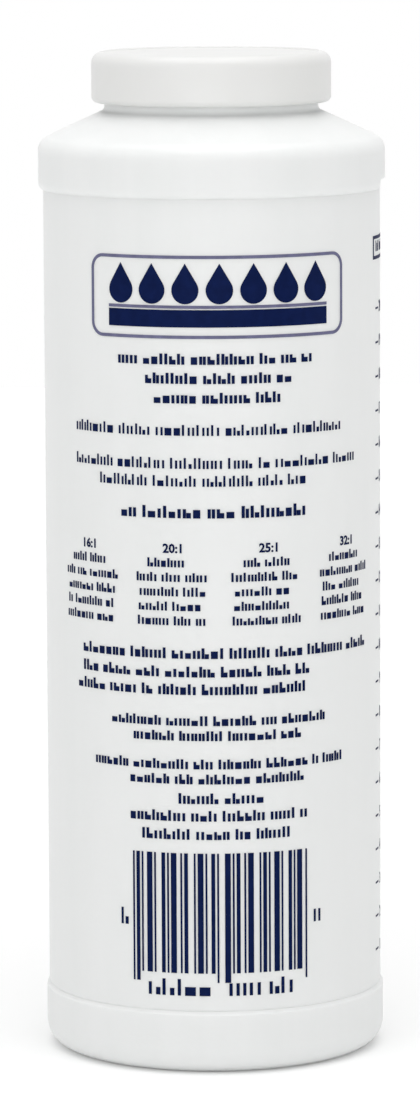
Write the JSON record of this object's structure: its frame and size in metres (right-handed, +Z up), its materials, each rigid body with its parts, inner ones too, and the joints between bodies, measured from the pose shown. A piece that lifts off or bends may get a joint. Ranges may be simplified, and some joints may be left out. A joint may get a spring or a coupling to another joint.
{
  "type": "fuel mixing bottle",
  "caption": "Round blow-moulded fuel mixing bottle with a coarse-thread screw cap, foam liner, mixing table and side scale printed in dark ink.",
  "frame": {"origin": "middle of the base, on the surface the bottle stands on", "axes": "+Z up the bottle's axis, and the middle of the print faces -Y"},
  "size_m": [0.0812, 0.0812, 0.235],
  "materials": {
    "bottle_plastic": "milky translucent polyethylene, satin",
    "cap_plastic": "white moulded polypropylene, satin",
    "liner_foam": "white foam sheet",
    "navy_ink": "dark blue screen-print ink",
    "pale_ink": "thin grey-violet screen-print ink"
  },
  "bodies": {
    "container": {"bottle": "bottle_plastic", "print_badge_frame": "pale_ink", "print_badge": "navy_ink", "print_heading": "navy_ink", "print_directions": "navy_ink", "print_table_title": "navy_ink", "print_table": "navy_ink", "print_notes": "navy_ink", "print_closing": "navy_ink", "print_foot": "navy_ink", "print_barcode": "navy_ink", "print_side_scale": "navy_ink"},
    "liner": {"cap_liner": "liner_foam"},
    "screw_cap": {"cap": "cap_plastic"}
  },
  "joints": [
    {"name": "cap_lift", "type": "slide", "parent": "container", "child": "liner", "axis": [0, 0, 1], "range_m": [0, 0.0213]},
    {"name": "cap_turn", "type": "hinge", "parent": "liner", "child": "screw_cap", "pos_m": [0, 0, 0.23], "axis": [0, 0, 1], "range_deg": [0, 1800]}
  ],
  "couplings": [
    {"joint": "cap_lift", "follows": "cap_turn", "m_per_rad": 0.00067376}
  ]
}
